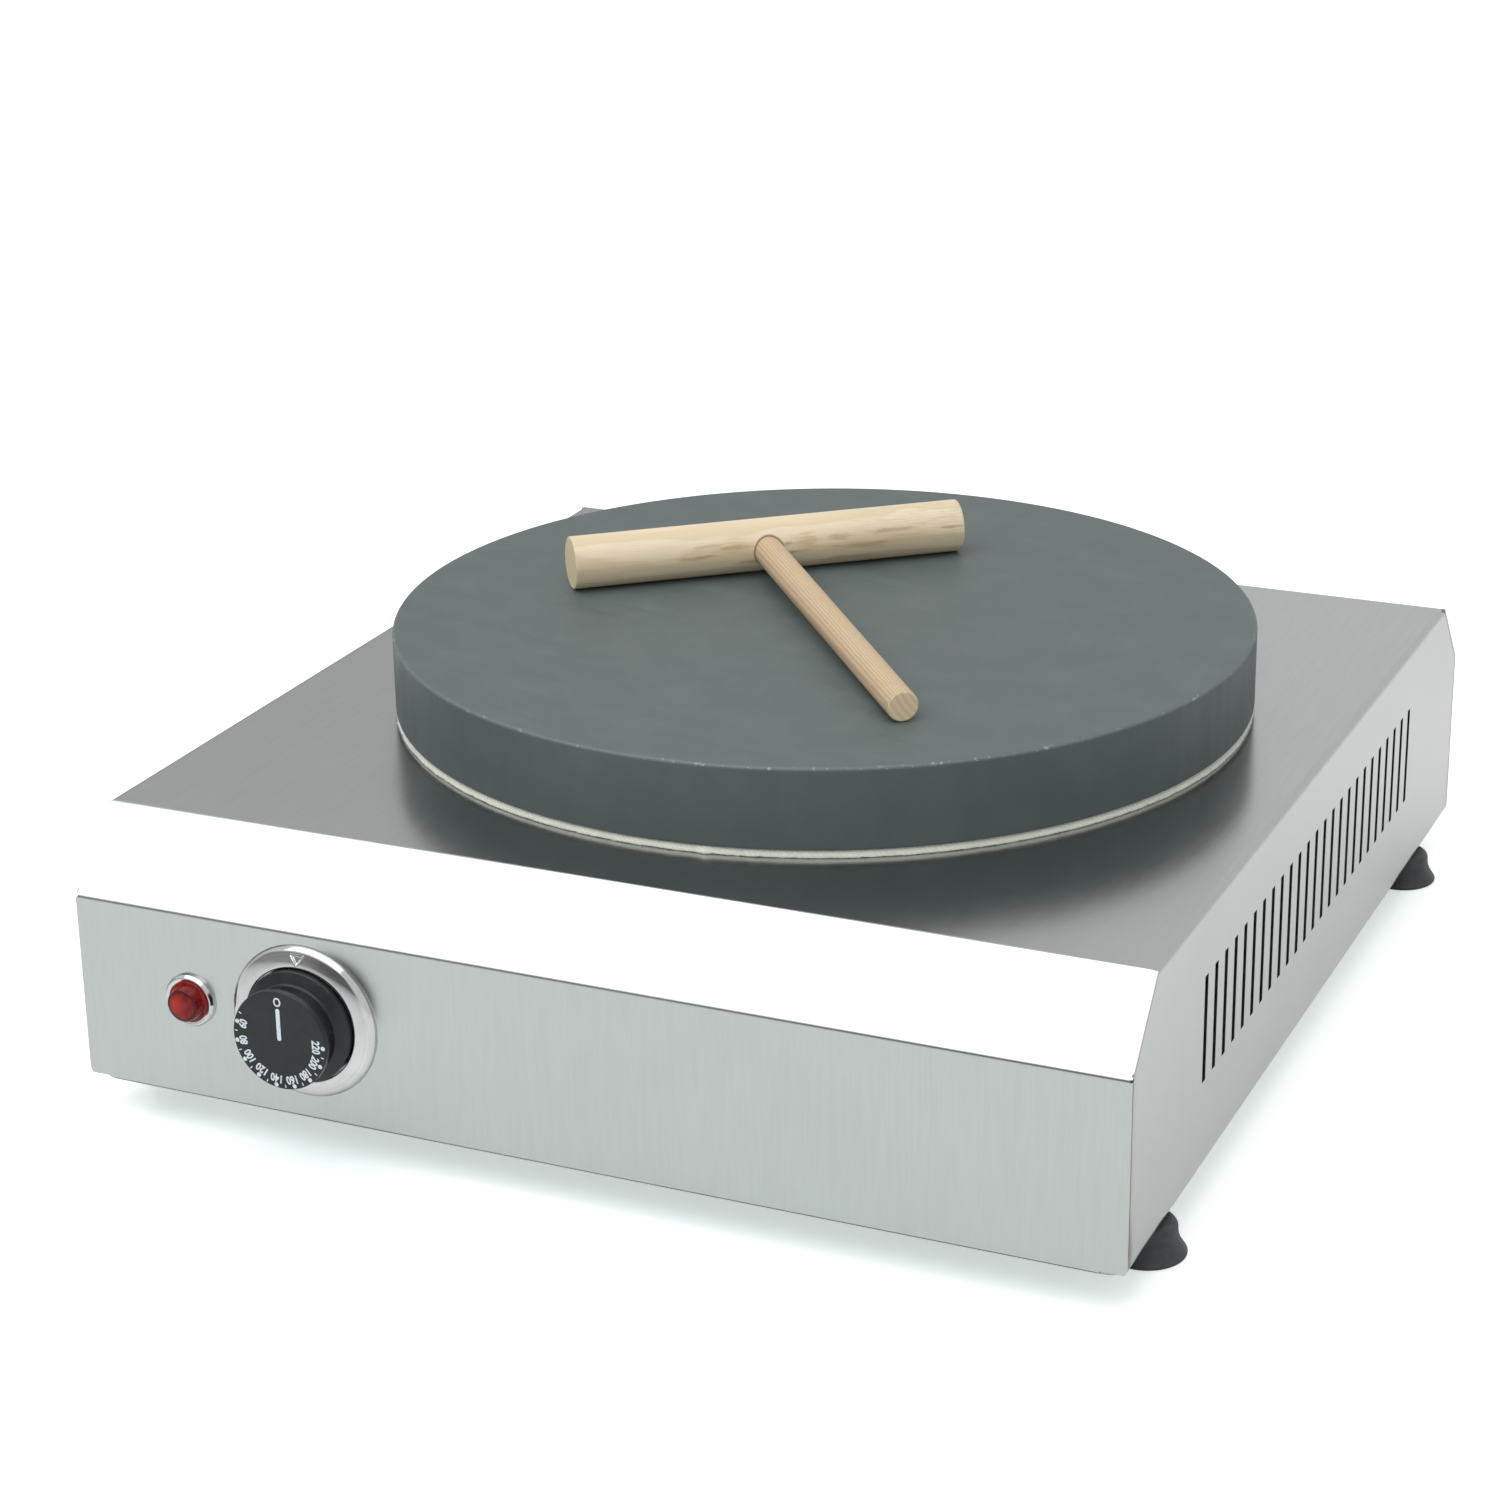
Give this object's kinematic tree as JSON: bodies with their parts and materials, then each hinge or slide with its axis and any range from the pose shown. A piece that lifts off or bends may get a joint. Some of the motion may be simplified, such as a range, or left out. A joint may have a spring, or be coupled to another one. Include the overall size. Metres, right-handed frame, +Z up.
{
  "type": "electric crepe maker",
  "caption": "Countertop crepe cooker: round hotplate on a folded slotted steel housing with feet, thermostat knob, pilot lamp and a loose wooden batter spreader.",
  "frame": {"origin": "on the worktop, below the middle of the whole cooker", "axes": "+Z up, +X to the right seen from the front, the control panel faces -Y"},
  "size_m": [0.4332, 0.4973, 0.1776],
  "materials": {
    "steel_panel": "folded stainless sheet with a fine satin grain",
    "cast_plate": "seasoned cooking surface, satin grey",
    "gasket": "woven heat-proof sealing cord",
    "black_rubber": "matt moulded rubber",
    "zinc_steel": "zinc-plated fasteners",
    "element_tube": "heat-darkened sheathed tube",
    "mild_steel": "bare sheet steel",
    "mineral_wool": "compressed mineral fibre",
    "bright_sheet": "bright aluminised sheet",
    "dark_plastic": "dark moulded plastic",
    "pale_plastic": "pale moulded plastic",
    "black_knob": "black moulded knob with white figures",
    "bright_trim": "polished pressed trim",
    "brass": "turned brass",
    "copper_tube": "fine copper capillary",
    "red_lens": "translucent red lens",
    "gland_plastic": "black moulded gland",
    "seal_rubber": "soft sealing rubber",
    "wire_brown": "brown insulation",
    "wire_blue": "blue insulation",
    "wire_green": "green and yellow insulation",
    "roller_wood": "pale turned softwood with knots",
    "handle_wood": "straight-grained hardwood dowel"
  },
  "bodies": {
    "root": {"housing": "steel_panel", "base_cover": "mild_steel", "base_cover_screws": "zinc_steel", "foot_front_left": "black_rubber", "foot_front_right": "black_rubber", "foot_rear_left": "black_rubber", "foot_rear_right": "black_rubber", "foot_screws": "zinc_steel", "foot_nuts": "zinc_steel", "hotplate": "cast_plate", "gasket_ring": "gasket", "heating_element_outer": "element_tube", "heating_element_inner": "element_tube", "element_clamp_plate": "mild_steel", "plate_studs": "zinc_steel", "clamp_washers": "zinc_steel", "clamp_nuts": "zinc_steel", "insulation_disc": "mineral_wool", "heat_shield_pan": "bright_sheet", "pan_washers": "zinc_steel", "pan_nuts": "zinc_steel", "thermostat_frame": "zinc_steel", "thermostat_body": "pale_plastic", "thermostat_terminals": "brass", "thermostat_screws": "zinc_steel", "knob_bezel": "bright_trim", "capillary_tube": "copper_tube", "sensor_bulb": "copper_tube", "bulb_springs": "mild_steel", "pilot_lens": "red_lens", "pilot_bezel": "bright_trim", "pilot_body": "dark_plastic", "pilot_nut": "dark_plastic", "pilot_terminals": "brass", "gland_body": "gland_plastic", "gland_locknut": "gland_plastic", "gland_dome_nut": "gland_plastic", "gland_seal": "seal_rubber", "terminal_block": "pale_plastic", "terminal_inserts": "brass", "terminal_screws": "zinc_steel", "terminal_block_screws": "zinc_steel", "earth_stud": "zinc_steel", "earth_nuts": "zinc_steel", "wire_live": "wire_brown", "wire_heat": "wire_brown", "wire_link": "wire_brown", "wire_neutral": "wire_blue", "wire_lamp_live": "wire_brown", "wire_lamp_neutral": "wire_blue", "wire_earth": "wire_green"},
    "knob": {"control_knob": "black_knob", "thermostat_shaft": "brass"},
    "spreader": {"spreader_roller": "roller_wood", "spreader_handle": "handle_wood"}
  },
  "joints": [
    {"name": "knob_turn", "type": "hinge", "parent": "root", "child": "knob", "pos_m": [-0.1117, -0.235, 0.0552], "axis": [0, 1, 0], "range_deg": [0, 270]},
    {"name": "spreader_lift", "type": "slide", "parent": "root", "child": "spreader", "axis": [0, 0, 1], "range_m": [0, 0.2]}
  ]
}
